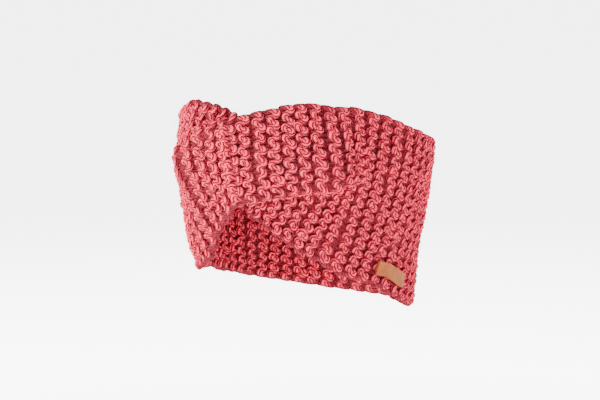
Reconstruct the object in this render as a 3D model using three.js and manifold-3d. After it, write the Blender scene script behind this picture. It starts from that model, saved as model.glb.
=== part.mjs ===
// Knitted ear warmer headband: a wide garter-stitch strip with a crossed, pleated front, and a small
// leather tag. Millimetres, +Z up. The wearer faces -Y and +X is the wearer's left. The origin is the
// middle of the hollow that the head fills.
import * as THREE from 'three';
import Module from 'manifold-3d';

// Head that the band is knitted for, and the strip
const HEAD_WIDTH = 156;
const HEAD_DEPTH = 194;
const STRIP_WIDTH = 116;
const FABRIC = 6;
const RIDGE_PITCH = 11.1;
const RIDGE_RELIEF = 1.2;
const LAYER_STEP = 7;
const HEM_ROUND = 5;
const CURL_LENGTH = 25;
const SEAM_LAP = 3;
const SEAM_STEP = 0.4;

// Leather tag
const TAG_LENGTH = 36;
const TAG_WIDTH = 10;
const TAG_THICKNESS = 1.6;
const TAG_GAP = 0.3;
const TAG_MARGIN_FRONT = 8;
const TAG_MARGIN_REAR = 10;
const TAG_ALONG = 0.268;

// Girth of the head at a height, as shares of the strip's width and of the widest girth
const HEAD_FORM = [
  { height: -0.95, girth: 0.790 },
  { height: -0.65, girth: 0.830 },
  { height: -0.47, girth: 0.852 },
  { height: -0.32, girth: 0.868 },
  { height: -0.17, girth: 0.905 },
  { height: -0.03, girth: 0.938 },
  { height: 0.12, girth: 0.970 },
  { height: 0.32, girth: 1.000 },
  { height: 0.52, girth: 0.985 },
  { height: 0.65, girth: 0.955 },
  { height: 0.82, girth: 0.900 },
];

// The strip from its seam at the front, round the wearer's left side and the back, to the seam again.
// along: share of the loop. angle: degrees round the head at the top edge. top: height of the top edge.
// upper, depth, lower: length above the pleat, hidden depth of the pleat, length below it.
// turn: half turns of the pleat's folds, inwards on the way down (+) or outwards (-).
// leanUp, leanLow: lean of the ridges above and below the pleat, in degrees.
// riseTop, riseHem: how far the edges of the outer layer stand off, in layers.
// curl: how far the hem turns in again below that, in layers.
// Lengths and heights are shares of the strip's width.
const COLUMNS = [
  'along', 'angle', 'top', 'upper', 'depth', 'lower',
  'turn', 'leanUp', 'leanLow', 'riseTop', 'riseHem', 'curl',
];
const SECTIONS = [
  [0.000, 3.0, 0.596, 0.484, 0.233, 0.297, 1.00, -8, 33, 2.0, 0, 0],
  [0.049, 18.0, 0.649, 0.493, 0.155, 0.358, 1.00, -6, 33, 0.9, 0, 0],
  [0.102, 35.0, 0.676, 0.486, 0.086, 0.435, 1.00, -2, 29, 0.3, 0, 0],
  [0.135, 46.5, 0.654, 0.456, 0.052, 0.466, 0.80, 1, 27, 0.1, 0, 0],
  [0.164, 56.5, 0.638, 0.427, 0.000, 0.497, 0.38, 5, 24, 0, 0, 0],
  [0.198, 69.0, 0.598, 0.438, 0.000, 0.545, 0.05, 11, 17, 0, 0, 0],
  [0.251, 88.5, 0.494, 0.434, 0.000, 0.536, 0, 12, 15, 0, 0, 0],
  [0.296, 105.0, 0.428, 0.441, 0.000, 0.580, 0, 12, 12, 0, 0, 0],
  [0.367, 132.0, 0.362, 0.448, 0.000, 0.595, 0, 7, 8, 0, 0, 0],
  [0.483, 180.0, 0.322, 0.443, 0.000, 0.569, 0, 0, 0, 0, 0, 0],
  [0.606, 230.0, 0.394, 0.387, 0.000, 0.610, 0, -5, -5, 0, 0, 0],
  [0.692, 262.0, 0.479, 0.309, 0.000, 0.668, 0, -6, -6, 0, 0.1, 0.3],
  [0.759, 285.0, 0.529, 0.247, 0.000, 0.712, 0, -2, -6, 0, 0.3, 0.4],
  [0.823, 307.5, 0.574, 0.289, 0.000, 0.685, -0.10, 8, -8, 0, 0.45, 0.4],
  [0.874, 327.0, 0.659, 0.356, 0.035, 0.650, -0.36, 16, -10, 0, 0.5, 0.6],
  [0.897, 337.0, 0.655, 0.335, 0.062, 0.590, -0.56, 18, -10, 0, 0.45, 0.5],
  [0.920, 347.0, 0.648, 0.321, 0.095, 0.550, -0.95, 20, -10, 0, 0.4, 0.3],
  [0.961, 359.5, 0.608, 0.271, 0.172, 0.517, -1.00, 22, -7, 0, 0.9, 0],
  [1.000, 367.6, 0.549, 0.239, 0.250, 0.449, -1.00, 24, -8, 0, 2.0, 0],
];

// An outer layer settles onto the ones below this share of the pleat's depth before its edge
const SETTLE = 0.4;

// How much of its relief a face keeps where another layer presses on it, and an edge of its thickness
const PRESSED = 0.2;
const EDGE_THICKNESS = 0.5;

const SAMPLES_PER_RIDGE = 3;
const PATH_STEPS = 240;
const PIECES_UPPER = 3;
const PIECES_FOLD = 3;
const PIECES_LOWER = 3;
const TAG_PIECES = 10;
const TAG_PIECES_ACROSS = 4;
const PROBE = 0.4;

const rad = THREE.MathUtils.degToRad;
const clamp = THREE.MathUtils.clamp;
const mix = THREE.MathUtils.lerp;
const ease = (t) => THREE.MathUtils.smoothstep(t, 0, 1);

// Half axes of the middle of the fabric where the head is widest
const halfX = (HEAD_WIDTH + FABRIC) / 2 + RIDGE_RELIEF;
const halfY = (HEAD_DEPTH + FABRIC) / 2 + RIDGE_RELIEF;
const loopLength = ellipseLength(halfX, halfY);
const ridges = Math.round(loopLength / RIDGE_PITCH);
const foldRadius = LAYER_STEP / 2;

function ellipseLength(a, b) {
  const h = ((a - b) / (a + b)) ** 2;
  return Math.PI * (a + b) * (1 + (3 * h) / (10 + Math.sqrt(4 - 3 * h)));
}

// A smooth curve through x, y pairs that doesn't overshoot them
function throughPoints(xs, ys) {
  const last = xs.length - 1;
  const slopes = xs.slice(1).map((x, i) => (ys[i + 1] - ys[i]) / (x - xs[i]));
  const tangents = xs.map((x, i) => {
    if (i === 0) return slopes[0];
    if (i === last) return slopes[last - 1];
    const [before, after] = [slopes[i - 1], slopes[i]];
    if (before * after <= 0) return 0;
    const wide = x - xs[i - 1];
    const next = xs[i + 1] - x;
    const [w1, w2] = [2 * next + wide, next + 2 * wide];
    return (w1 + w2) / (w1 / before + w2 / after);
  });
  return (x) => {
    const i = clamp(xs.findIndex((v) => v > x) - 1, 0, last - 1);
    const k = x >= xs[last] ? last - 1 : i;
    const h = xs[k + 1] - xs[k];
    const t = (x - xs[k]) / h;
    const s = 1 - t;
    return ys[k] * (1 + 2 * t) * s * s + tangents[k] * h * t * s * s
      + ys[k + 1] * t * t * (3 - 2 * t) - tangents[k + 1] * h * t * t * s;
  };
}

const girthAt = throughPoints(HEAD_FORM.map((r) => r.height), HEAD_FORM.map((r) => r.girth));
const columnCurves = COLUMNS.slice(1).map((name, i) => [
  name, throughPoints(SECTIONS.map((r) => r[0]), SECTIONS.map((r) => r[i + 1])),
]);

function sectionAt(along) {
  return Object.fromEntries(columnCurves.map(([name, curve]) => [name, curve(along)]));
}

// A point at an angle (radians) and a height on the head form, stood off outwards
function onHead(angle, height, off) {
  const girth = girthAt(height / STRIP_WIDTH);
  const out = new THREE.Vector3(Math.sin(angle) / halfX, -Math.cos(angle) / halfY, 0).normalize();
  const point = new THREE.Vector3(halfX * Math.sin(angle), -halfY * Math.cos(angle), 0);
  return point.multiplyScalar(girth).setZ(height).addScaledVector(out, off);
}

// One ridge line, walked down from the top edge. The angle between its way and the head's surface
// turns at the pleat's two folds, so a whole turn lays the fabric back on itself.
function ridgeLine(along) {
  const s = sectionAt(along);
  const turn = Math.abs(s.turn) * Math.PI;
  const bend = Math.max(foldRadius * turn, 1e-6);
  const reach = foldRadius * Math.sin(Math.min(turn, Math.PI / 2));
  const upper = s.upper * STRIP_WIDTH - reach;
  const depth = s.depth * STRIP_WIDTH;
  const back = Math.max(depth - 2 * reach, 0) * ease(2 * Math.abs(s.turn) - 1);
  const lower = s.lower * STRIP_WIDTH - reach;
  const length = upper + 2 * bend + back + lower;
  const step = length / PATH_STEPS;
  const soft = STRIP_WIDTH * 0.1;
  const inwards = s.turn >= 0;
  let angle = rad(s.angle);
  let height = s.top * STRIP_WIDTH;
  let drop = 0;
  const path = [];
  for (let i = 0; i <= PATH_STEPS; i++) {
    const q = i * step;
    const turned = turn * (clamp((q - upper) / bend, 0, 1) - clamp((q - upper - bend - back) / bend, 0, 1));
    const share = ease((q - upper + soft) / (2 * bend + back + 2 * soft));
    const lean = rad(mix(s.leanUp, s.leanLow, share));
    path.push({ q, angle, height, drop });
    const radius = Math.hypot(halfX * Math.cos(angle), halfY * Math.sin(angle));
    angle -= (Math.cos(turned) * Math.sin(lean) * step) / (radius * girthAt(height / STRIP_WIDTH));
    height -= Math.cos(turned) * Math.cos(lean) * step;
    drop += Math.sin(turned) * step;
  }
  const total = drop;
  const settle = SETTLE * depth;
  for (const p of path) {
    const fromTop = 1 - ease(p.q / (upper - settle));
    const fromHem = 1 - ease((length - p.q) / (lower - settle));
    const curled = s.curl * ease(1 - (length - p.q) / CURL_LENGTH);
    p.off = inwards
      ? total - p.drop - (total - s.riseTop * LAYER_STEP) * fromTop
      : p.drop - (total - s.riseHem * LAYER_STEP) * fromHem;
    p.off -= curled * LAYER_STEP;
  }
  const pleat = Math.min(total / (2 * LAYER_STEP), 1);
  return { path, length, upper, bend, back, lower, depth, inwards, pleat };
}

// A point of the middle of the fabric at a distance down a ridge line
function pointOn(line, q) {
  const f = clamp(q / line.length, 0, 1) * PATH_STEPS;
  const i = Math.min(Math.floor(f), PATH_STEPS - 1);
  const [a, b] = [line.path[i], line.path[i + 1]];
  const t = f - i;
  return onHead(mix(a.angle, b.angle, t), mix(a.height, b.height, t), mix(a.off, b.off, t));
}

// Three ridge lines side by side give the surface and its outward normal at any share across
function lineWithNormals(along) {
  const side = PROBE / ridges;
  const [before, line, after] = [along - side, along, along + side].map((u) => ridgeLine(clamp(u, 0, 1)));
  const at = (across) => {
    const q = across * line.length;
    const down = pointOn(line, q + PROBE).sub(pointOn(line, q - PROBE));
    const on = pointOn(after, across * after.length).sub(pointOn(before, across * before.length));
    const onward = on.clone().normalize();
    return { point: pointOn(line, q), normal: down.cross(on).normalize(), onward };
  };
  return { line, at };
}

// Shares across at which a ridge line is sampled: even where it is flat, denser round the folds
function stations(line) {
  const counts = [PIECES_UPPER, PIECES_FOLD, 1, PIECES_FOLD, PIECES_LOWER];
  const lengths = [line.upper, line.bend, Math.max(line.back, 1), line.bend, line.lower];
  const sum = lengths.reduce((a, b) => a + b, 0);
  const total = counts.reduce((a, b) => a + b, 0);
  const out = [0];
  let before = 0;
  counts.forEach((count, k) => {
    for (let i = 1; i <= count; i++) {
      const folded = (before + (lengths[k] * i) / count) / sum;
      out.push(mix(out.length / total, folded, ease(2 * line.pleat)));
    }
    before += lengths[k];
  });
  return out;
}

// Ridges stand up on both faces by turns, and are pressed flat where another layer lies on the face.
// The outer face is covered from the outer fold to the depth of the pleat below it, the inner face
// from the same depth above the inner fold.
function relief(across, line, along, outerFace) {
  const q = across * line.length;
  const folds = [line.upper, line.length - line.lower];
  const below = outerFace === line.inwards;
  const from = below ? folds[0] : folds[0] - line.depth;
  const to = below ? folds[1] + line.depth : folds[1];
  const covered = ease((q - from) / HEM_ROUND + 1) * ease((to - q) / HEM_ROUND + 1);
  const pressed = mix(1, PRESSED, covered * ease(line.pleat));
  const edge = ease((Math.min(across, 1 - across) * line.length) / HEM_ROUND);
  return RIDGE_RELIEF * pressed * edge * Math.cos(2 * Math.PI * along * ridges);
}

function halfThickness(across, line) {
  const fromEdge = Math.min(across, 1 - across) * line.length;
  const round = clamp(fromEdge / HEM_ROUND, 0, 1);
  return (FABRIC / 2) * mix(EDGE_THICKNESS, 1, Math.sqrt(round * (2 - round)));
}

function toManifold(wasm, points, triangles) {
  const vertProperties = new Float32Array(points.flatMap((p) => [p.x, p.y, p.z]));
  const mesh = new wasm.Mesh({ numProp: 3, vertProperties, triVerts: new Uint32Array(triangles) });
  return new wasm.Manifold(mesh);
}

// Closed wall between two rows of rings: each ring runs down the outer face and back up the inner one
function wallSolid(wasm, rings) {
  const size = rings[0].length;
  const half = size / 2;
  const triangles = [];
  for (let i = 0; i + 1 < rings.length; i++) {
    for (let j = 0; j < size; j++) {
      const [a, b] = [i * size + j, i * size + ((j + 1) % size)];
      triangles.push(a, b, b + size, a, b + size, a + size);
    }
  }
  const end = (rings.length - 1) * size;
  for (let j = 0; j + 1 < half; j++) {
    const [o, p, q, r] = [j, j + 1, size - 2 - j, size - 1 - j];
    triangles.push(o, q, p, o, r, q);
    triangles.push(end + o, end + p, end + q, end + o, end + q, end + r);
  }
  const solid = toManifold(wasm, rings.flat(), triangles);
  if (solid.volume() > 0) return solid;
  const turned = [];
  for (let t = 0; t < triangles.length; t += 3) turned.push(triangles[t], triangles[t + 2], triangles[t + 1]);
  return toManifold(wasm, rings.flat(), turned);
}

function toGeometry(solid) {
  const mesh = solid.getMesh();
  const places = new THREE.BufferAttribute(Float32Array.from(mesh.vertProperties), mesh.numProp);
  const geometry = new THREE.BufferGeometry();
  geometry.setAttribute('position', places);
  geometry.setIndex(Array.from(mesh.triVerts));
  return geometry;
}

// The section of the strip at one ridge line, shifted along the strip and thinned where it laps
function bandRing(along, shift = 0, thinner = 0) {
  const { line, at } = lineWithNormals(along);
  const outer = [];
  const inner = [];
  for (const across of stations(line)) {
    const { point, normal, onward } = at(across);
    const half = halfThickness(across, line) - thinner;
    point.addScaledVector(onward, shift);
    outer.push(point.clone().addScaledVector(normal, relief(across, line, along, true) + half));
    inner.push(point.clone().addScaledVector(normal, relief(across, line, along, false) - half));
  }
  return [...outer, ...inner.reverse()];
}

// The two halves of the strip share the ridges at the back, and their outer layers lap at the seam
function band(wasm) {
  const columns = ridges * SAMPLES_PER_RIDGE;
  const middle = Math.round(columns / 2);
  const rings = Array.from({ length: columns + 1 }, (_, i) => bandRing(i / columns));
  const lap = bandRing(1, SEAM_LAP, SEAM_STEP);
  const firstHalf = wallSolid(wasm, rings.slice(0, middle + 2));
  const secondHalf = wallSolid(wasm, [...rings.slice(middle), lap]);
  return toGeometry(firstHalf.add(secondHalf));
}

// Share of the loop that the tag takes up, from how far apart two ridge lines are under it
function tagSpan(seat) {
  const fromHem = (TAG_MARGIN_FRONT + TAG_MARGIN_REAR + TAG_WIDTH) / 2;
  const [front, rear] = [-1, 1].map((side) => {
    const { line, at } = lineWithNormals(TAG_ALONG + side / ridges);
    const { point, normal } = at(1 - fromHem / line.length);
    return point.addScaledVector(normal, seat);
  });
  return ((2 / ridges) * TAG_LENGTH) / front.distanceTo(rear);
}

// A thin plate that follows the outer face of the strip, just above the hem
function leatherTag(wasm) {
  const seat = FABRIC / 2 + RIDGE_RELIEF + TAG_GAP;
  const span = tagSpan(seat);
  const rings = [];
  for (let i = 0; i <= TAG_PIECES; i++) {
    const share = i / TAG_PIECES;
    const { line, at } = lineWithNormals(TAG_ALONG + (share - 0.5) * span);
    const margin = mix(TAG_MARGIN_FRONT, TAG_MARGIN_REAR, share);
    const outer = [];
    const inner = [];
    for (let j = 0; j <= TAG_PIECES_ACROSS; j++) {
      const fromHem = margin + TAG_WIDTH * (1 - j / TAG_PIECES_ACROSS);
      const { point, normal } = at(1 - fromHem / line.length);
      inner.push(point.clone().addScaledVector(normal, seat));
      outer.push(point.clone().addScaledVector(normal, seat + TAG_THICKNESS));
    }
    rings.push([...outer, ...inner.reverse()]);
  }
  return toGeometry(wallSolid(wasm, rings));
}

const wasm = await Module();
wasm.setup();

const wool = new THREE.MeshStandardMaterial({ color: 0xc95f66, roughness: 0.95, metalness: 0 });
const leather = new THREE.MeshStandardMaterial({ color: 0xb97a48, roughness: 0.6, metalness: 0 });

function piece(name, geometry, material) {
  const mesh = new THREE.Mesh(geometry, material);
  mesh.name = name;
  return mesh;
}

const headband = new THREE.Group();
headband.add(piece('band', band(wasm), wool));
headband.add(piece('leather_tag', leatherTag(wasm), leather));

export default headband;
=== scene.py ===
"""Knitted ear warmer headband with a crossed, pleated front and a small leather tag. Metres, +Z up."""
import bpy
import numpy as np
from mathutils import Matrix, Vector


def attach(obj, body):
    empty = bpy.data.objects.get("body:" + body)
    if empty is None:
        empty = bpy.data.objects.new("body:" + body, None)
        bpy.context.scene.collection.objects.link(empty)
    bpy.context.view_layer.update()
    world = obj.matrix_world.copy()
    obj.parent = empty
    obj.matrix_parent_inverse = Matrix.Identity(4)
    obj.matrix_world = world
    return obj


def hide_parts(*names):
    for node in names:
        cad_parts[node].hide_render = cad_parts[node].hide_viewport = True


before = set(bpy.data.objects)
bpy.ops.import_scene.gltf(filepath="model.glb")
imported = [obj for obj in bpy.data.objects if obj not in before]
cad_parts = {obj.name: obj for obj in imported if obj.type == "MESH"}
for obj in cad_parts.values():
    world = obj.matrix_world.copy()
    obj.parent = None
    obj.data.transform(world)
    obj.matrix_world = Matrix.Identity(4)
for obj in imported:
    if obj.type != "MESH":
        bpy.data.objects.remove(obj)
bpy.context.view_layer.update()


# Camera and lamps: the camera stands 30 degrees to the wearer's left and a little above. Three soft
# square panels light the band, most of all the key from the front and above, in a pale even surrounding.
CAMERA_AZIMUTH, CAMERA_TILT = np.radians(30), np.radians(8)
CAMERA_DISTANCE = 1.5
CAMERA_LENS = 126.4
VIEW_SHIFT = -0.0055
# name, place, size, watts, colour
PANELS = [
    ("key", (-0.75, -1.5, 1.7), 0.6, 124, (1.0, 0.985, 0.97)),
    ("fill", (1.9, -0.7, 0.9), 1.2, 5, (0.97, 0.98, 1.0)),
    ("side", (-2.0, 0.2, 0.9), 1.2, 36, (1.0, 0.99, 0.98)),
]
SURROUNDING = (0.93, 0.93, 0.94, 1)
SURROUNDING_STRENGTH = 0.35


def in_scene(name, data):
    """An object of the scene, at the origin."""
    thing = bpy.data.objects.new(name, data)
    bpy.context.scene.collection.objects.link(thing)
    return thing


def aimed(name, data, place, target=(0, 0, 0)):
    """An object at a place, with its -Z axis pointing at a target and its Y axis as upright as it can be."""
    thing = in_scene(name, data)
    way = Vector(target) - Vector(place)
    thing.matrix_world = Matrix.Translation(place) @ way.to_track_quat("-Z", "Y").to_matrix().to_4x4()
    return thing


view_right = np.array([np.cos(CAMERA_AZIMUTH), np.sin(CAMERA_AZIMUTH), 0])
to_camera = np.array([
    np.sin(CAMERA_AZIMUTH) * np.cos(CAMERA_TILT),
    -np.cos(CAMERA_AZIMUTH) * np.cos(CAMERA_TILT),
    np.sin(CAMERA_TILT),
])
view_middle = VIEW_SHIFT * view_right
lens = bpy.data.cameras.new("camera")
lens.sensor_width = 36
lens.lens = CAMERA_LENS
lens.clip_end = 50
camera = aimed("camera", lens, tuple(CAMERA_DISTANCE * to_camera + view_middle), tuple(view_middle))
bpy.context.scene.camera = camera

for name, place, size, watts, colour in PANELS:
    lamp = bpy.data.lights.new(name, "AREA")
    lamp.shape = "SQUARE"
    lamp.size = size
    lamp.energy = watts
    lamp.color = colour
    aimed(name, lamp, place)

world = bpy.data.worlds.new("surrounding")
world.use_nodes = True
background = world.node_tree.nodes["Background"]
background.inputs["Color"].default_value = SURROUNDING
background.inputs["Strength"].default_value = SURROUNDING_STRENGTH
bpy.context.scene.world = world


# Floor: a plain pale studio floor, well below the band, which its mount holds up. It glows by itself:
# hardly under the band, most in a ring round it, and less again further off.
FLOOR_HEIGHT = -0.42
FLOOR_REACH = 30
# Distances from the origin where the glow starts and ends, and its rise and fall in a metre
GLOW_START, GLOW_RISE = 0.75, 1.5
GLOW_END, GLOW_FALL = 2.7, 0.65
GLOW_UNDER, GLOW_FAR, GLOW_RING = (0.06, 0.058, 0.058, 1), (0.40, 0.39, 0.39, 1), (0.66, 0.64, 0.645, 1)


class Socket:
    """A node's output. Sums, differences and products of it add Math nodes."""

    def __init__(self, tree, socket):
        self.tree = tree
        self.socket = socket

    def plug(self, slot):
        self.tree.links.new(self.socket, slot)

    def other(self, index):
        """Another output of the same node."""
        return Socket(self.tree, self.socket.node.outputs[index])

    def math(self, operation, *others):
        node = self.tree.nodes.new("ShaderNodeMath")
        node.operation = operation
        for slot, value in zip(node.inputs, (self, *others)):
            set_socket(slot, value)
        return Socket(self.tree, node.outputs[0])

    def limit(self):
        """Kept between 0 and 1."""
        return self.math("MAXIMUM", 0.0).math("MINIMUM", 1.0)

    def __add__(self, other):
        return self.math("ADD", other)

    def __sub__(self, other):
        return self.math("SUBTRACT", other)

    def __rsub__(self, other):
        return (self * -1.0) + other

    def __mul__(self, other):
        return self.math("MULTIPLY", other)

    __radd__ = __add__
    __rmul__ = __mul__


def set_socket(slot, value):
    """Links a socket to an output, or sets it to a number or a tuple."""
    if isinstance(value, Socket):
        value.plug(slot)
    else:
        slot.default_value = value


class Finish:
    """A material: its Principled shader and the nodes that feed it. In a socket's name an underscore
    stands for a space, and _0, _1 and so on are sockets by number."""

    def __init__(self, name, **constants):
        self.material = bpy.data.materials.new(name)
        self.material.use_nodes = True
        self.tree = self.material.node_tree
        self.shader = self.tree.nodes["Principled BSDF"]
        self.feed(**constants)

    def fill(self, node, values):
        for key, value in values.items():
            name = int(key[1:]) if key[1:].isdigit() else key.replace("_", " ")
            set_socket(node.inputs[name], value)

    def feed(self, **values):
        """Sets or links sockets of the shader."""
        self.fill(self.shader, values)

    def node(self, kind, settings=(), output=0, **values):
        """A node of a kind: its settings first, then its sockets from numbers, tuples or outputs."""
        node = self.tree.nodes.new("ShaderNode" + kind)
        for key, value in dict(settings).items():
            setattr(node, key, value)
        self.fill(node, values)
        return Socket(self.tree, node.outputs[output])

    def place(self):
        """Object coordinates."""
        return self.node("TexCoord", (), 3)

    def blend(self, share, low, high):
        """A colour between two."""
        return self.node("Mix", {"data_type": "RGBA"}, 2, _0=share, _6=low, _7=high)


def floor_paint():
    """Matt pale paint. Its glow rises from the colour under the band to the far one from GLOW_START on,
    with a brighter share, the product of that rise and a fall to nothing at GLOW_END."""
    paint = Finish("floor_paint", Base_Color=(0.86, 0.85, 0.85, 1), Roughness=0.9, Emission_Strength=13.0)
    away = paint.node("VectorMath", {"operation": "LENGTH"}, 1, _0=paint.place())
    far = ((away - GLOW_START) * GLOW_RISE).limit()
    near = ((GLOW_END - away) * GLOW_FALL).limit()
    glow = paint.blend(far, GLOW_UNDER, GLOW_FAR)
    paint.feed(Emission_Color=paint.blend(far * near, glow, GLOW_RING))
    return paint.material


floor_mesh = bpy.data.meshes.new("floor")
floor_corners = [
    (x * FLOOR_REACH, y * FLOOR_REACH, FLOOR_HEIGHT) for x, y in [(-1, -1), (1, -1), (1, 1), (-1, 1)]
]
floor_mesh.from_pydata(floor_corners, [], [(0, 1, 2, 3)])
floor = in_scene("floor", floor_mesh)
floor_mesh.materials.append(floor_paint())


# Shape of the fabric: one long strip of garter stitch goes round the head, and its two ends are sewn
# together at the front, inside a crossing of two pleats. The middle of its thickness is worked out here,
# the same way as for the solid, and everything knitted lies on it.
HEAD_WIDTH, HEAD_DEPTH = 0.156, 0.194
STRIP_WIDTH = 0.116
FABRIC = 0.006
RIDGE_PITCH, RIDGE_RELIEF = 0.0111, 0.0012
LAYER_STEP = 0.007
CURL_LENGTH = 0.025
# Share of the pleat's depth before which an outer layer has settled on the ones below
SETTLE = 0.4
# Share of the strip's width above and below the pleat over which the ridges change their lean
LEAN_CHANGE = 0.1
# Heights as shares of the strip's width, and the head's girth there as a share of its widest
HEAD_HEIGHTS = [-0.95, -0.65, -0.47, -0.32, -0.17, -0.03, 0.12, 0.32, 0.52, 0.65, 0.82]
HEAD_GIRTHS = [0.790, 0.830, 0.852, 0.868, 0.905, 0.938, 0.970, 1.000, 0.985, 0.955, 0.900]
# The strip from its seam at the front, round the wearer's left side and the back, to the seam again.
# along: share of the loop. angle: degrees round the head at the top edge. top: height of the top edge.
# upper, depth, lower: length above the pleat, hidden depth of the pleat, length below it.
# turn: half turns of the pleat's folds, inwards on the way down (+) or outwards (-).
# lean_up, lean_low: lean of the ridges above and below the pleat, in degrees.
# rise_top, rise_hem: how far the edges of the outer layer stand off, in layers.
# curl: how far the hem turns in again below that, in layers.
# Lengths and heights are shares of the strip's width.
COLUMNS = [
    "along", "angle", "top", "upper", "depth", "lower",
    "turn", "lean_up", "lean_low", "rise_top", "rise_hem", "curl",
]
SECTIONS = np.array([
    [0.000, 3.0, 0.596, 0.484, 0.233, 0.297, 1.00, -8, 33, 2.0, 0, 0],
    [0.049, 18.0, 0.649, 0.493, 0.155, 0.358, 1.00, -6, 33, 0.9, 0, 0],
    [0.102, 35.0, 0.676, 0.486, 0.086, 0.435, 1.00, -2, 29, 0.3, 0, 0],
    [0.135, 46.5, 0.654, 0.456, 0.052, 0.466, 0.80, 1, 27, 0.1, 0, 0],
    [0.164, 56.5, 0.638, 0.427, 0.000, 0.497, 0.38, 5, 24, 0, 0, 0],
    [0.198, 69.0, 0.598, 0.438, 0.000, 0.545, 0.05, 11, 17, 0, 0, 0],
    [0.251, 88.5, 0.494, 0.434, 0.000, 0.536, 0, 12, 15, 0, 0, 0],
    [0.296, 105.0, 0.428, 0.441, 0.000, 0.580, 0, 12, 12, 0, 0, 0],
    [0.367, 132.0, 0.362, 0.448, 0.000, 0.595, 0, 7, 8, 0, 0, 0],
    [0.483, 180.0, 0.322, 0.443, 0.000, 0.569, 0, 0, 0, 0, 0, 0],
    [0.606, 230.0, 0.394, 0.387, 0.000, 0.610, 0, -5, -5, 0, 0, 0],
    [0.692, 262.0, 0.479, 0.309, 0.000, 0.668, 0, -6, -6, 0, 0.1, 0.3],
    [0.759, 285.0, 0.529, 0.247, 0.000, 0.712, 0, -2, -6, 0, 0.3, 0.4],
    [0.823, 307.5, 0.574, 0.289, 0.000, 0.685, -0.10, 8, -8, 0, 0.45, 0.4],
    [0.874, 327.0, 0.659, 0.356, 0.035, 0.650, -0.36, 16, -10, 0, 0.5, 0.6],
    [0.897, 337.0, 0.655, 0.335, 0.062, 0.590, -0.56, 18, -10, 0, 0.45, 0.5],
    [0.920, 347.0, 0.648, 0.321, 0.095, 0.550, -0.95, 20, -10, 0, 0.4, 0.3],
    [0.961, 359.5, 0.608, 0.271, 0.172, 0.517, -1.00, 22, -7, 0, 0.9, 0],
    [1.000, 367.6, 0.549, 0.239, 0.250, 0.449, -1.00, 24, -8, 0, 2.0, 0],
])
HALF_X = (HEAD_WIDTH + FABRIC) / 2 + RIDGE_RELIEF
HALF_Y = (HEAD_DEPTH + FABRIC) / 2 + RIDGE_RELIEF
FOLD_RADIUS = LAYER_STEP / 2
WALK_STEPS = 240
GRID_PER_RIDGE = 6


def oval_girth(a, b):
    """The girth of an oval by its half axes: pi (a + b) (1 + 3h / (10 + root of (4 - 3h))), where h is the
    square of (a - b) / (a + b)."""
    h = ((a - b) / (a + b)) ** 2
    return np.pi * (a + b) * (1 + 3 * h / (10 + np.sqrt(4 - 3 * h)))


LOOP_LENGTH = round(oval_girth(HALF_X, HALF_Y), 4)
RIDGES = round(LOOP_LENGTH / RIDGE_PITCH)
GRID_ALONG = RIDGES * GRID_PER_RIDGE + 1


def unit(vectors):
    """Vectors at a length of one."""
    return vectors / np.linalg.norm(vectors, axis=-1, keepdims=True)


def ease(t):
    """0 below 0, 1 above 1, and 3t^2 - 2t^3 between."""
    t = np.clip(t, 0, 1)
    return t * t * (3 - 2 * t)


def curve_through(xs, ys, x):
    """The value at x of a smooth curve through points, whose slope at a point is the weighted harmonic
    mean of the slopes beside it, so that it never overshoots."""
    xs, ys = np.asarray(xs, float), np.asarray(ys, float)
    wide = np.diff(xs)
    slope = np.diff(ys) / wide
    before, after = slope[:-1], slope[1:]
    w1, w2 = 2 * wide[1:] + wide[:-1], wide[1:] + 2 * wide[:-1]
    same = before * after > 0
    inner = np.where(same, (w1 + w2) / (w1 / np.where(same, before, 1) + w2 / np.where(same, after, 1)), 0)
    tangent = np.concatenate([slope[:1], inner, slope[-1:]])
    k = np.clip(np.searchsorted(xs, x, side="right") - 1, 0, len(xs) - 2)
    t = (x - xs[k]) / wide[k]
    s = 1 - t
    return (ys[k] * (1 + 2 * t) * s * s + tangent[k] * wide[k] * t * s * s
            + ys[k + 1] * t * t * (3 - 2 * t) - tangent[k + 1] * wide[k] * t * t * s)


def girth_at(height):
    """Girth of the head form at a height, as a share of its widest."""
    return curve_through(HEAD_HEIGHTS, HEAD_GIRTHS, height / STRIP_WIDTH)


def on_head(angle, height, off):
    """A point on the oval head form at an angle from the face and a height, stood off outwards."""
    out = unit(np.stack([np.sin(angle) / HALF_X, -np.cos(angle) / HALF_Y, 0 * angle], -1))
    oval = np.stack([HALF_X * np.sin(angle), -HALF_Y * np.cos(angle)], -1) * girth_at(height)[..., None]
    return np.concatenate([oval, height[..., None]], -1) + off[..., None] * out


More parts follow.
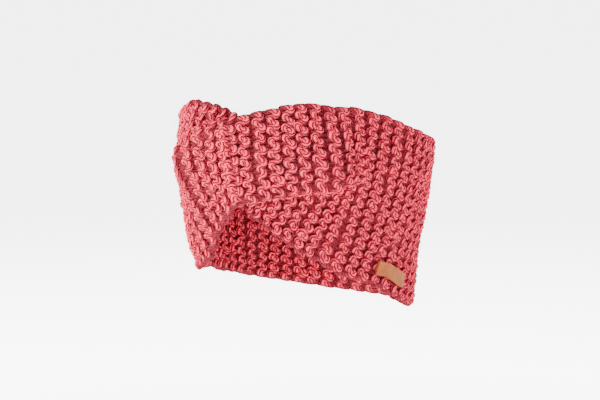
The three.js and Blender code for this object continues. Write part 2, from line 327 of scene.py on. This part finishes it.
def fabric_grid(along):
    """The middle surface at shares along the loop, each followed down the strip from the top edge in
    equal steps. Its way turns off the head's surface by up to half a turn at the pleat's first fold, which
    lays it back on itself, and turns back at the second. The ridges' lean changes softly across the pleat.
    A point stands off by its drop through the folds, and settles towards both edges."""
    s = {name: curve_through(SECTIONS[:, 0], column, along) for name, column in zip(COLUMNS, SECTIONS.T)}
    turn = np.abs(s["turn"]) * np.pi
    bend = np.maximum(FOLD_RADIUS * turn, 1e-9)
    reach = FOLD_RADIUS * np.sin(np.minimum(turn, np.pi / 2))
    upper = s["upper"] * STRIP_WIDTH - reach
    depth = s["depth"] * STRIP_WIDTH
    behind = np.maximum(depth - 2 * reach, 0) * ease(2 * np.abs(s["turn"]) - 1)
    lower = s["lower"] * STRIP_WIDTH - reach
    length = upper + 2 * bend + behind + lower
    step = length / WALK_STEPS
    soft = LEAN_CHANGE * STRIP_WIDTH
    angle, height, drop = np.radians(s["angle"]), s["top"] * STRIP_WIDTH, np.zeros_like(along)
    walk = []
    for i in range(WALK_STEPS + 1):
        q = i * step
        first_fold = np.clip((q - upper) / bend, 0, 1)
        second_fold = np.clip((q - upper - bend - behind) / bend, 0, 1)
        turned = turn * (first_fold - second_fold)
        share = ease((q - upper + soft) / (2 * bend + behind + 2 * soft))
        lean = np.radians(s["lean_up"] + (s["lean_low"] - s["lean_up"]) * share)
        walk.append((q, angle, height, drop))
        speed = np.hypot(HALF_X * np.cos(angle), HALF_Y * np.sin(angle)) * girth_at(height)
        angle = angle - np.cos(turned) * np.sin(lean) * step / speed
        height = height - np.cos(turned) * np.cos(lean) * step
        drop = drop + np.sin(turned) * step
    q, angle, height, drop = (np.stack(column, -1) for column in zip(*walk))
    upper, depth, lower, length = (v[:, None] for v in (upper, depth, lower, length))
    rise_top, rise_hem, curl = (s[name][:, None] * LAYER_STEP for name in ("rise_top", "rise_hem", "curl"))
    total = drop[:, -1:]
    from_top = 1 - ease(q / (upper - SETTLE * depth))
    from_hem = 1 - ease((length - q) / (lower - SETTLE * depth))
    off = np.where(s["turn"][:, None] >= 0,
                   total - drop - (total - rise_top) * from_top,
                   drop - (total - rise_hem) * from_hem)
    off -= curl * ease(1 - (length - q) / CURL_LENGTH)
    return on_head(angle, height, off)


middle = fabric_grid(np.linspace(0, 1, GRID_ALONG))
down = np.gradient(middle, axis=1)
onward = np.gradient(middle, axis=0)
outward = unit(np.cross(down, onward))
down = unit(down)
sideways = (onward - (onward * down).sum(-1, keepdims=True) * down) * (GRID_ALONG - 1) / LOOP_LENGTH
fabric_table = np.concatenate([middle, outward, sideways], -1)


def on_fabric(along, across):
    """The middle surface at shares along and across the strip, its outward normal, and the way square to the
    ridge there, as long as a metre of the strip has become, by bilinear interpolation in the grid."""
    f = along * (GRID_ALONG - 1)
    g = across * WALK_STEPS
    i = np.clip(np.floor(f), 0, GRID_ALONG - 2).astype(int)
    j = np.clip(np.floor(g), 0, WALK_STEPS - 1).astype(int)
    f, g = (f - i)[..., None], (g - j)[..., None]
    here = fabric_table[i, j] * (1 - f) + fabric_table[i + 1, j] * f
    below = fabric_table[i, j + 1] * (1 - f) + fabric_table[i + 1, j + 1] * f
    both = here * (1 - g) + below * g
    return both[..., :3], both[..., 3:6], both[..., 6:]


# Knitted rows: thick plied wool, knitted to and fro across the strip in garter stitch. On every ridge
# line the heads of one row and the feet of the next come to the same face, the inner and the outer one
# by turns, which gives each face a ridge for every two rows.
ROWS = 2 * RIDGES
STITCHES = 16
YARN_RADIUS = 0.0021
ARC_HEIGHT = 0.0028
LOOP_LIFT = 0.0023
HEM_BOW = 0.004
# Room between the outermost heads and the hems, in stitches
HEM_MARGIN = 0.6
# The rows are spread by this factor along the strip, so that they reach past both ends at the seam
SPREAD = 1.012
# How far the yarn is shifted to round the arcs out, in stitches
ARC_WIDENING = 0.07
# Shares of its radius that the yarn has in the legs, and gains at the tops of the arcs
LEG_THICKNESS, ARC_SWELL = 0.94, 0.12
# How uneven the hand knitting is: across in stitches, the arcs and lifts in metres, the yarn as a share
UNEVEN_ACROSS, UNEVEN_ARC, UNEVEN_LIFT, UNEVEN_YARN = 0.06, 0.0006, 0.0004, 0.07
# Slow drifts of the rows: change by row, change along a row, start
DRIFTS = [(0.31, 0.029, 0.4), (0.17, -0.043, 2.1), (0.53, 0.061, 4.4)]
DRIFT_SIZE = 0.0004
POINTS_PER_STITCH = 18
BOW_POINTS = 6
YARN_SIDES = 8
TWIST_PITCH = 0.012
PLIES = 4
# Colours of the wool: painted shade (deep red), the wool's own pink, and painted highlight (light pink)
WOOL_PAINTED_SHADE, WOOL_MID, WOOL_PAINTED_HIGHLIGHT = (0.215, 0.016, 0.026, 1), (0.38, 0.032, 0.054, 1), (1.0, 0.038, 0.091, 1)


def uneven(rng, t):
    """A random value for each head and each foot of every row, one passing into the next along the row:
    heads by (1 + cos t) / 2 and feet by (1 - cos t) / 2."""
    head, foot = np.round(t / (2 * np.pi)).astype(int), np.floor(t / (2 * np.pi)).astype(int) + 1
    heads = rng.normal(0, 1, (ROWS, STITCHES + 2))[:, head] * (0.5 + 0.5 * np.cos(t))
    feet = rng.normal(0, 1, (ROWS, STITCHES + 2))[:, foot] * (0.5 - 0.5 * np.cos(t))
    return heads + feet


def ridge_share(number):
    """The share along the strip of a ridge line, with the rows spread a little past both ends."""
    return 0.5 + SPREAD * (number / ROWS - 0.5)


def yarn_rows():
    """Each row's middle line, its normals, its lift off the middle and the yarn's radius. At phase t a row
    is t / 2 pi + a sin 2t stitches across and lifted by +-lift cos t. Its feet lie on the ridge line before
    it and its heads on the next one, each arc standing off by b cos t square to its own ridge, and the
    legs pass softly from one to the other."""
    pitch = LOOP_LENGTH / ROWS
    count = POINTS_PER_STITCH * STITCHES + POINTS_PER_STITCH // 2 + 1
    t = np.linspace(-0.5 * np.pi, 2 * np.pi * STITCHES + 0.5 * np.pi, count)
    row = np.arange(ROWS)[:, None]
    rng = np.random.default_rng(7)
    across_by, arc_by, lift_by, yarn_by = (uneven(rng, t) for _ in range(4))
    drift = sum(np.sin(row * by_row + t * along_row + start) for by_row, along_row, start in DRIFTS)
    across = t / (2 * np.pi) + ARC_WIDENING * np.sin(2 * t) + UNEVEN_ACROSS * across_by
    across = (across + HEM_MARGIN) / (STITCHES + 2 * HEM_MARGIN)
    arc = (ARC_HEIGHT + pitch / 2 + UNEVEN_ARC * arc_by) * np.cos(t) + DRIFT_SIZE * drift
    lift = np.where(row % 2 == 0, -1, 1) * (LOOP_LIFT + UNEVEN_LIFT * lift_by) * np.cos(t)
    radius = YARN_RADIUS * (1 + UNEVEN_YARN * yarn_by) * (LEG_THICKNESS + ARC_SWELL * np.cos(t) ** 2)
    feet, feet_normal, feet_way = on_fabric(ridge_share(row), across)
    heads, heads_normal, heads_way = on_fabric(ridge_share(row + 1), across)
    feet = feet + (arc + pitch / 2)[..., None] * feet_way
    heads = heads + (arc - pitch / 2)[..., None] * heads_way
    share = ease(0.5 + 0.5 * np.cos(t))[:, None]
    normal = unit(feet_normal * (1 - share) + heads_normal * share)
    return feet * (1 - share) + heads * share + lift[..., None] * normal, normal, lift, radius


def yarn_path(rows, first, last):
    """The rows from one to another as one line: every other row is turned round, and a small cubic bow
    that stands out past the hem joins each to the next. Gives points, normals, lifts and radii."""
    b = np.linspace(0, 1, BOW_POINTS + 2)[1:-1, None]
    stretches = []
    for j in range(first, last):
        onwards = j % 2 == 0
        way = slice(None) if onwards else slice(None, None, -1)
        points, normals, lifts, radii = (column[j, way] for column in rows)
        stretches.append((points, normals, lifts, radii))
        if j + 1 < last:
            start, end = points[-1], rows[0][j + 1, -1 if onwards else 0]
            # The bow goes on the way that the row's last points go
            out = HEM_BOW * unit(points[-1] - points[-4])
            bow = ((1 - b) ** 3 * start + 3 * (1 - b) ** 2 * b * (start + out)
                   + 3 * (1 - b) * b ** 2 * (end + out) + b ** 3 * end)
            bow_normals = np.repeat(normals[-1:], BOW_POINTS, 0)
            stretches.append((bow, bow_normals, np.zeros(BOW_POINTS), np.full(BOW_POINTS, YARN_RADIUS)))
    return tuple(np.concatenate(column) for column in zip(*stretches))


def tube(name, points, normals, radii, sides):
    """A closed tube along a path: at each point the ring point + radius (cos a side + sin a up), in the
    plane across its way. Its UV is the length along it in metres and the share around it."""
    way = unit(np.gradient(points, axis=0))
    side = unit(np.cross(way, normals))
    up = np.cross(side, way)
    angle = 2 * np.pi * np.arange(sides) / sides
    ring = np.cos(angle)[None, :, None] * side[:, None] + np.sin(angle)[None, :, None] * up[:, None]
    verts = points[:, None] + radii[:, None, None] * ring
    n = len(points)
    run = np.concatenate([[0], np.cumsum(np.linalg.norm(np.diff(points, axis=0), axis=-1))])
    i, j = np.meshgrid(np.arange(n - 1), np.arange(sides), indexing="ij")
    k = (j + 1) % sides
    here, ahead = i * sides, (i + 1) * sides
    quads = np.stack([here + j, ahead + j, ahead + k, here + k], -1).reshape(-1, 4)
    u = np.stack([run[i], run[i + 1], run[i + 1], run[i]], -1)
    v = np.stack([j, j, j + 1, j + 1], -1) / sides
    caps = [list(range(sides)), list(range((n - 1) * sides, n * sides))[::-1]]
    mesh = bpy.data.meshes.new(name)
    mesh.from_pydata(verts.reshape(-1, 3), [], quads.tolist() + caps)
    uv = np.zeros((len(mesh.loops), 2), np.float32)
    uv[:quads.size] = np.stack([u, v], -1).reshape(-1, 2)
    mesh.uv_layers.new(name="yarn").data.foreach_set("uv", uv.ravel())
    mesh.shade_smooth()
    return in_scene(name, mesh), verts


def plied_wool():
    """Plies twisted round each other, with fibres along them, painted shade in deep red down in the fabric
    and in the grooves between the plies, and painted highlights in light pink along the plies where the
    loops stand up. A ply's height is root of (1 - g^2), where g goes from 0 at its middle to 1 in the
    groove."""
    wool = Finish(
        "wool", Roughness=0.9, Specular_IOR_Level=0.06, Sheen_Weight=0.10, Sheen_Roughness=0.4,
        Sheen_Tint=(1.0, 0.2, 0.3, 1))
    run = wool.node("SeparateXYZ", Vector=wool.node("UVMap", {"uv_map": "yarn"}))
    twisted = run.other(1) + run * (1 / TWIST_PITCH)
    groove = (((twisted * PLIES).math("FRACT") - 0.5) * 2).math("ABSOLUTE")
    roundness = (1 - groove * groove).limit().math("SQRT")
    turn = twisted * (2 * np.pi)
    # Noise on a ring that runs along the yarn makes fibres that follow the twist
    ring = wool.node("CombineXYZ", X=turn.math("COSINE"), Y=turn.math("SINE"), Z=run * 140.0)
    fibres = wool.node("TexNoise", Vector=ring, Scale=2.2, Detail=3.0, Roughness=0.7)
    patches = wool.node("TexNoise", Vector=wool.place(), Scale=55.0, Detail=2.0)
    crest = wool.node("Attribute", {"attribute_name": "crest"}, 2)
    # Painted shade: the wool goes to deep red where its skin lies low in the fabric, by the crest share; lit
    # is the share left unshaded
    lit = ((crest - 0.42) * 1.9).limit()
    # Painted highlight: a light pink streak along the middle of each ply, broken by the fibres, where the
    # loops stand up
    highlight_streak = ((roundness - 0.45) * 2.2).limit() * (fibres * 3.4 - 0.6)
    colour = wool.blend(lit, WOOL_PAINTED_SHADE, WOOL_MID)
    colour = wool.blend((highlight_streak * lit).limit(), colour, WOOL_PAINTED_HIGHLIGHT)
    # Painted shade in the grooves between the plies
    colour = wool.blend(((groove - 0.45) * 3.0).limit(), colour, WOOL_PAINTED_SHADE)
    colour = wool.blend(((patches - 0.5) * 0.6).limit(), colour, WOOL_MID)
    relief = wool.node("Bump", Height=roundness * 0.8 + fibres * 0.45, Distance=0.0020, Strength=1.0)
    wool.feed(Base_Color=colour, Normal=relief)
    return wool.material


wool = plied_wool()
rows = yarn_rows()
third = 2 * (ROWS // 3 // 2)
# Points of the yarn's skin, the way out of the yarn there, and how near they are to the loops' crests
skins = []
for name, first, last in [
    ("knit_rows_left", 0, third),
    ("knit_rows_back", third, 2 * third),
    ("knit_rows_right", 2 * third, ROWS),
]:
    points, normals, lifts, radii = yarn_path(rows, first, last)
    piece, verts = tube(name, points, normals, radii, YARN_SIDES)
    out = verts - points[:, None]
    crest = np.abs((out * normals[:, None]).sum(-1) + lifts[:, None]) / (LOOP_LIFT + YARN_RADIUS)
    # The crest share sets where the wool is painted in shade or highlight, and where the fuzz grows
    crest_layer = piece.data.attributes.new("crest", "FLOAT", "POINT")
    crest_layer.data.foreach_set("value", crest.ravel().astype(np.float32))
    skins.append(np.concatenate([verts, out, crest[..., None]], -1).reshape(-1, 7))
    piece.data.materials.append(wool)
    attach(piece, "root")


# Fuzz: loose fibres of the wool that stand out of the loops all over. They are fine bent hairs a few
# millimetres long, three-sided and running out to a point, rooted just under the yarn's skin.
FUZZ_HAIRS = 9000
FUZZ_LENGTH = 0.0042
FUZZ_RADIUS = 0.00011
FUZZ_ROOT = 0.0004
# Share of the loops' height above which the yarn's skin grows hairs
FUZZ_FROM = 0.6
# A hair goes this much out of the yarn and this much a random way
FUZZ_OUT, FUZZ_SWAY = 0.35, 0.45


def hairs(name, count, length, radius):
    """Each hair follows root + length (run s + bend s^2 / 2), s from 0 to 1, with a radius that falls as
    1 - s, so its last ring is a point."""
    rng = np.random.default_rng(11)
    skin = np.concatenate(skins)
    skin = skin[skin[:, 6] > FUZZ_FROM]
    picked = skin[rng.integers(0, len(skin), count)]
    out = unit(picked[:, 3:6])
    sway, bend = rng.normal(0, 1, (2, count, 3))
    run = out * FUZZ_OUT + sway * FUZZ_SWAY
    size = length * rng.uniform(0.5, 1.3, (count, 1))
    s = np.array([0, 0.35, 0.7, 1.0])[None, :, None]
    line = (picked[:, None, :3] - FUZZ_ROOT * out[:, None]
            + size[:, None] * (run[:, None] * s + 0.5 * bend[:, None] * s * s))
    side = unit(np.cross(run, bend))
    other = unit(np.cross(run, side))
    angle = (2 * np.pi * np.arange(3) / 3)[None, None, :, None]
    ring = np.cos(angle) * side[:, None, None] + np.sin(angle) * other[:, None, None]
    # Three rings of three points and a tip, with walls between the rings
    rings = line[:, :3, None] + radius * (1 - s[:, :3, None]) * ring
    verts = np.concatenate([rings.reshape(count, 9, 3), line[:, 3:]], 1)
    walls = [(i + j, i + (j + 1) % 3, i + 3 + (j + 1) % 3, i + 3 + j) for i in (0, 3) for j in range(3)]
    tips = [(6 + j, 6 + (j + 1) % 3, 9) for j in range(3)]
    root = [(2, 1, 0)]
    base = (verts.shape[1] * np.arange(count))[:, None, None]
    faces = [(base + np.array(part)).reshape(-1, len(part[0])).tolist() for part in (walls, tips + root)]
    mesh = bpy.data.meshes.new(name)
    mesh.from_pydata(verts.reshape(-1, 3), [], faces[0] + faces[1])
    return in_scene(name, mesh)


fuzz = hairs("wool_fuzz", FUZZ_HAIRS, FUZZ_LENGTH, FUZZ_RADIUS)
fuzz_wool = Finish("fuzz", Base_Color=(0.85, 0.07, 0.13, 1), Roughness=0.9, Specular_IOR_Level=0.05)
fuzz.data.materials.append(fuzz_wool.material)
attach(fuzz, "root")


# Heart of the fabric: the wool between the loops, a thin closed sheet inside them that stands for the
# whole cut strip, 116 by 578 mm, and keeps light from passing between the stitches. Its colour is painted
# shade, the deepest red, as hardly any light gets there.
HEART_THICKNESS = 0.0008
# Share of the strip that is left free at each hem
HEART_MARGIN = 0.01
HEART_ROWS_PER_RIDGE = 3
HEART_COLUMNS = 81
# Painted shade: the very dark reds of the sheet between the loops
HEART_SHADE_DARK, HEART_SHADE_PALE = (0.06, 0.001, 0.003, 1), (0.12, 0.003, 0.007, 1)


def heart_sheet(name, half):
    """A closed thin sheet, at middle + half normal and middle - half normal, with rims at the hems and
    both ends closed."""
    along = np.linspace(0, 1, RIDGES * HEART_ROWS_PER_RIDGE + 1)[:, None]
    across = np.linspace(HEART_MARGIN, 1 - HEART_MARGIN, HEART_COLUMNS)[None, :]
    points, normals, _ = on_fabric(along, across)
    ring = np.concatenate([points + half * normals, (points - half * normals)[:, ::-1]], 1)
    n, m = ring.shape[:2]
    i, j = np.meshgrid(np.arange(n - 1), np.arange(m), indexing="ij")
    k = (j + 1) % m
    quads = np.stack([i * m + j, i * m + k, (i + 1) * m + k, (i + 1) * m + j], -1).reshape(-1, 4)
    j = np.arange(m // 2 - 1)
    first = np.stack([j, m - 1 - j, m - 2 - j, j + 1], -1)
    last = np.stack([j, j + 1, m - 2 - j, m - 1 - j], -1) + (n - 1) * m
    mesh = bpy.data.meshes.new(name)
    mesh.from_pydata(ring.reshape(-1, 3), [], np.concatenate([quads, first, last]).tolist())
    mesh.shade_smooth()
    return in_scene(name, mesh)


def painted_shade_wool():
    """Wool painted in deep shade, a very dark red, with a fine mottle."""
    wool = Finish("wool_inside_painted_shade", Roughness=0.95)
    mottle = wool.node("TexNoise", Vector=wool.place(), Scale=600.0, Detail=3.0)
    wool.feed(Base_Color=wool.blend(mottle, HEART_SHADE_DARK, HEART_SHADE_PALE))
    return wool.material


heart = heart_sheet("fabric_heart", HEART_THICKNESS / 2)
heart.data.materials.append(painted_shade_wool())
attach(heart, "root")
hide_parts("band")


# Leather tag: a small bare plate of tan vegetable-tanned leather, sewn on near the hem on the wearer's
# left. The solid has its shape, so it stays and gets its leather here.
TAG_DARK, TAG_PALE = (0.25, 0.058, 0.007, 1), (0.36, 0.090, 0.011, 1)


def tan_leather():
    """Tan leather, clouded by a soft noise, with a fine grain of cells as relief."""
    leather = Finish("tag_leather", Roughness=0.6, Specular_IOR_Level=0.15)
    place = leather.place()
    cloud = leather.node("TexNoise", Vector=place, Scale=160.0, Detail=4.0, Roughness=0.6)
    grain = leather.node("TexVoronoi", Vector=place, Scale=1900.0)
    colour = leather.blend(((cloud - 0.35) * 2.5).limit(), TAG_DARK, TAG_PALE)
    relief = leather.node("Bump", Height=grain * 0.6 + cloud, Distance=0.0003, Strength=0.6)
    leather.feed(Base_Color=colour, Normal=relief)
    return leather.material


tag = bpy.data.objects["leather_tag"]
tag.data.materials.clear()
tag.data.materials.append(tan_leather())
